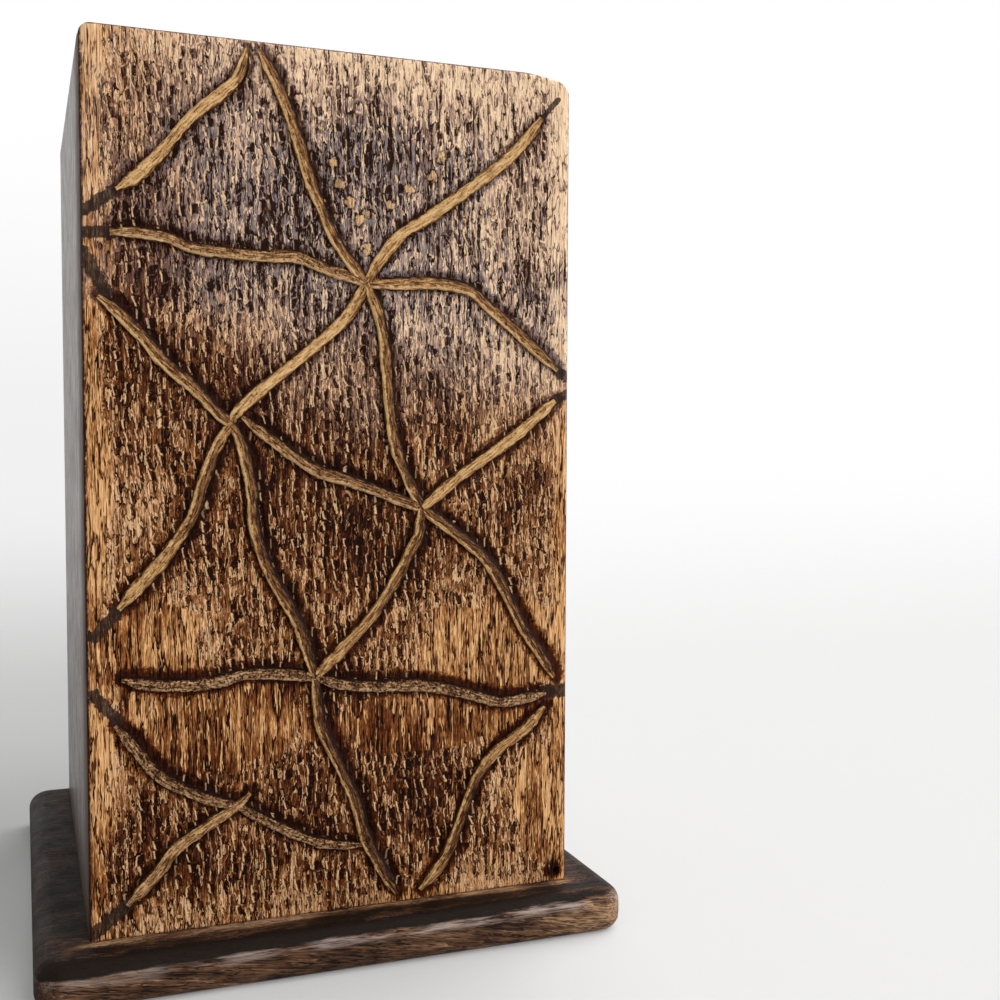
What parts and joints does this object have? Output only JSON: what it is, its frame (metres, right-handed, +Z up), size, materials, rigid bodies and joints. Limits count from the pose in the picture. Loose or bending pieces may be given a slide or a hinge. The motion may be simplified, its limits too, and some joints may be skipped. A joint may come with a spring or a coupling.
{
  "type": "wooden puzzle box",
  "caption": "Tall carved puzzle box on a plinth, with a sliding front, a tilt pin lock, a false floor and a hidden drawer.",
  "frame": {"origin": "middle of the plinth's underside", "axes": "+Z up; the carved face looks to -Y; +X is to the right of someone facing it"},
  "size_m": [0.152, 0.159, 0.232],
  "materials": {
    "carved_wood": "stained and rubbed back, satin varnish",
    "dark_wood": "dark stain, semi-gloss varnish",
    "plinth_wood": "dark stain rubbed back on the edges, satin varnish",
    "bare_wood": "bare, sanded",
    "steel": "bright drawn rod and wire"
  },
  "bodies": {
    "carcase": {"plinth": "plinth_wood", "left_side": "dark_wood", "right_side": "dark_wood", "back_board": "dark_wood", "top_board": "dark_wood", "sill_board": "bare_wood", "compartment_floor": "bare_wood", "shelf": "bare_wood", "plinth_screws": "steel"},
    "front": {"carved_front": "carved_wood", "slide_board": "bare_wood", "stop_blocks": "bare_wood"},
    "pin": {"locking_pin": "steel"},
    "false_floor": {"false_floor": "bare_wood"},
    "catch": {"catch_plate": "dark_wood", "catch_peg": "bare_wood"},
    "drawer": {"drawer_front": "dark_wood", "drawer_left_side": "bare_wood", "drawer_right_side": "bare_wood", "drawer_inner_end": "bare_wood", "drawer_bottom": "bare_wood", "drawer_brads": "steel"}
  },
  "joints": [
    {"name": "front_slide", "type": "slide", "parent": "carcase", "child": "front", "axis": [0, 0, 1], "range_m": [0, 0.15]},
    {"name": "pin_tilt", "type": "slide", "parent": "carcase", "child": "pin", "axis": [0, -1, 0], "range_m": [0, 0.007]},
    {"name": "false_floor_lift", "type": "slide", "parent": "carcase", "child": "false_floor", "axis": [0, 0, 1], "range_m": [0, 0.0535]},
    {"name": "catch_slide", "type": "slide", "parent": "carcase", "child": "catch", "axis": [-1, 0, 0], "range_m": [0, 0.012]},
    {"name": "drawer_slide", "type": "slide", "parent": "carcase", "child": "drawer", "axis": [0, 1, 0], "range_m": [0, 0.0855]}
  ]
}
